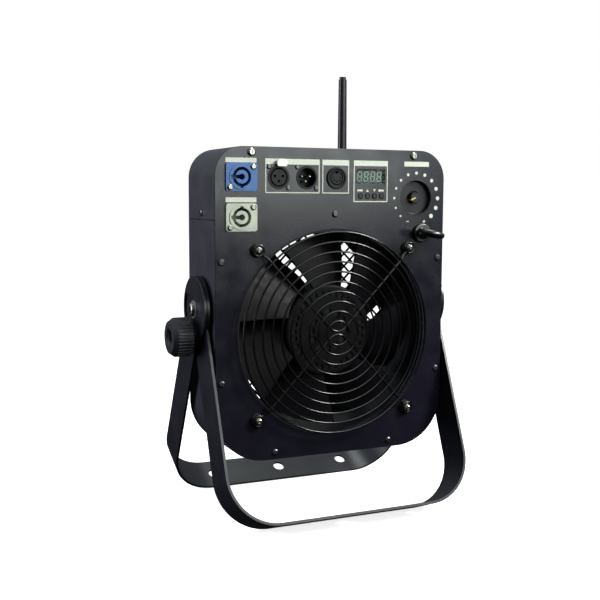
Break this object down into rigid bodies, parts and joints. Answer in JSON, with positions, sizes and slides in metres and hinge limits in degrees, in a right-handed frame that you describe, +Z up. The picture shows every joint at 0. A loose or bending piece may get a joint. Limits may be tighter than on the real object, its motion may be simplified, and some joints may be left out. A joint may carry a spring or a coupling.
{
  "type": "stage fan",
  "caption": "Box-shaped stage effects fan with a guarded axial impeller, data and mains sockets, a speed dial, an aerial and swinging floor brackets with a lock knob.",
  "frame": {"origin": "on the floor, at the middle of the machine's outline from above, brackets included", "axes": "+Z up, +Y from the control and inlet side towards the outlet side, +X to the right as seen from the control side"},
  "size_m": [0.292, 0.2166, 0.4397],
  "materials": {
    "panel_paint": "satin powder coat",
    "shell_paint": "satin powder coat",
    "bracket_paint": "satin powder coat",
    "guard_paint": "gloss black coat",
    "black_metal": "satin black",
    "fan_plastic": "moulded",
    "black_plastic": "moulded",
    "knob_plastic": "moulded, ribbed",
    "socket_black": "moulded",
    "blue_plastic": "moulded",
    "grey_plastic": "moulded",
    "white_plastic": "moulded",
    "display_lens": "clear window",
    "display_case": "grey seven-segment face",
    "silver_screw": "bright plated",
    "black_screw": "black oxide",
    "contact_metal": "plated",
    "brass_metal": "plated",
    "eye_steel": "black plated steel",
    "steel": "machined",
    "magnet": "ferrite",
    "rubber": "moulded",
    "board": "solder mask"
  },
  "bodies": {
    "housing": {"front_panel": "panel_paint", "rear_panel": "shell_paint", "top_cover": "shell_paint", "lower_shell": "shell_paint", "housing_screws": "black_screw", "top_screws": "silver_screw", "fan_duct": "black_metal", "motor_stator": "steel", "motor_bearings": "steel", "motor_mount": "black_metal", "front_guard": "guard_paint", "guard_standoffs": "rubber", "guard_screws": "silver_screw", "guard_nuts": "steel", "outlet_grille": "guard_paint", "mains_inlet": "blue_plastic", "mains_outlet": "grey_plastic", "mains_contacts": "contact_metal", "mains_socket_screws": "silver_screw", "data_out_socket": "socket_black", "data_in_socket": "socket_black", "data_contacts": "contact_metal", "data_socket_screws": "black_screw", "remote_socket": "socket_black", "remote_socket_nut": "socket_black", "display_window": "display_lens", "display_module": "display_case", "button_switches": "black_plastic", "control_board": "board", "dial_cup": "black_plastic", "speed_potentiometer": "black_metal", "safety_eye": "eye_steel", "safety_eye_washer": "eye_steel", "safety_eye_nut": "eye_steel", "aerial_connector": "brass_metal", "pivot_bolts": "silver_screw", "bracket_spacers": "black_plastic", "pivot_washers": "steel", "pivot_nuts": "steel", "lock_insert": "steel", "power_supply_board": "board", "radio_receiver_board": "board"},
    "front_bracket": {"front_bracket": "bracket_paint"},
    "rear_bracket": {"rear_bracket": "bracket_paint"},
    "lock_knob": {"lock_knob": "knob_plastic", "lock_stud": "steel"},
    "impeller": {"impeller": "fan_plastic", "rotor_cup": "black_metal", "rotor_magnets": "magnet", "fan_shaft": "steel"},
    "speed_knob": {"speed_knob": "black_plastic", "speed_spindle": "steel"},
    "menu_button": {"menu_button": "black_plastic"},
    "up_button": {"up_button": "black_plastic"},
    "down_button": {"down_button": "black_plastic"},
    "enter_button": {"enter_button": "black_plastic"},
    "data_latch": {"data_out_latch": "white_plastic"},
    "aerial_elbow": {"aerial_elbow": "black_plastic", "aerial_pin": "steel"},
    "aerial_whip": {"aerial_whip": "black_plastic"}
  },
  "joints": [
    {"name": "front_bracket_swing", "type": "hinge", "parent": "housing", "child": "front_bracket", "pos_m": [0.01035, -0.00899, 0.20473], "axis": [1, 0, 0], "range_deg": [0, 115]},
    {"name": "rear_bracket_swing", "type": "hinge", "parent": "housing", "child": "rear_bracket", "pos_m": [0.01035, -0.00899, 0.20473], "axis": [1, 0, 0], "range_deg": [-115, 0]},
    {"name": "lock_knob_turn", "type": "hinge", "parent": "housing", "child": "lock_knob", "pos_m": [-0.12095, -0.00899, 0.17873], "axis": [-1, 0, 0], "range_deg": [0, 360]},
    {"name": "impeller_spin", "type": "hinge", "parent": "housing", "child": "impeller", "pos_m": [0.01035, -0.03249, 0.18123], "axis": [0, 1, 0], "continuous": true},
    {"name": "speed_knob_turn", "type": "hinge", "parent": "housing", "child": "speed_knob", "pos_m": [0.10115, -0.04849, 0.31283], "axis": [0, -1, 0], "range_deg": [-249, 21]},
    {"name": "menu_button_press", "type": "slide", "parent": "housing", "child": "menu_button", "axis": [0, 1, 0], "range_m": [0, 0.0008]},
    {"name": "up_button_press", "type": "slide", "parent": "housing", "child": "up_button", "axis": [0, 1, 0], "range_m": [0, 0.0008]},
    {"name": "down_button_press", "type": "slide", "parent": "housing", "child": "down_button", "axis": [0, 1, 0], "range_m": [0, 0.0008]},
    {"name": "enter_button_press", "type": "slide", "parent": "housing", "child": "enter_button", "axis": [0, 1, 0], "range_m": [0, 0.0008]},
    {"name": "data_latch_press", "type": "slide", "parent": "housing", "child": "data_latch", "axis": [0, 1, 0], "range_m": [0, 0.0015]},
    {"name": "aerial_swivel", "type": "hinge", "parent": "housing", "child": "aerial_elbow", "pos_m": [0.06235, 0.04151, 0.33273], "axis": [0, 1, 0], "range_deg": [-170, 170]},
    {"name": "aerial_tilt", "type": "hinge", "parent": "aerial_elbow", "child": "aerial_whip", "pos_m": [0.06235, 0.04151, 0.33273], "axis": [1, 0, 0], "range_deg": [-90, 0]}
  ]
}
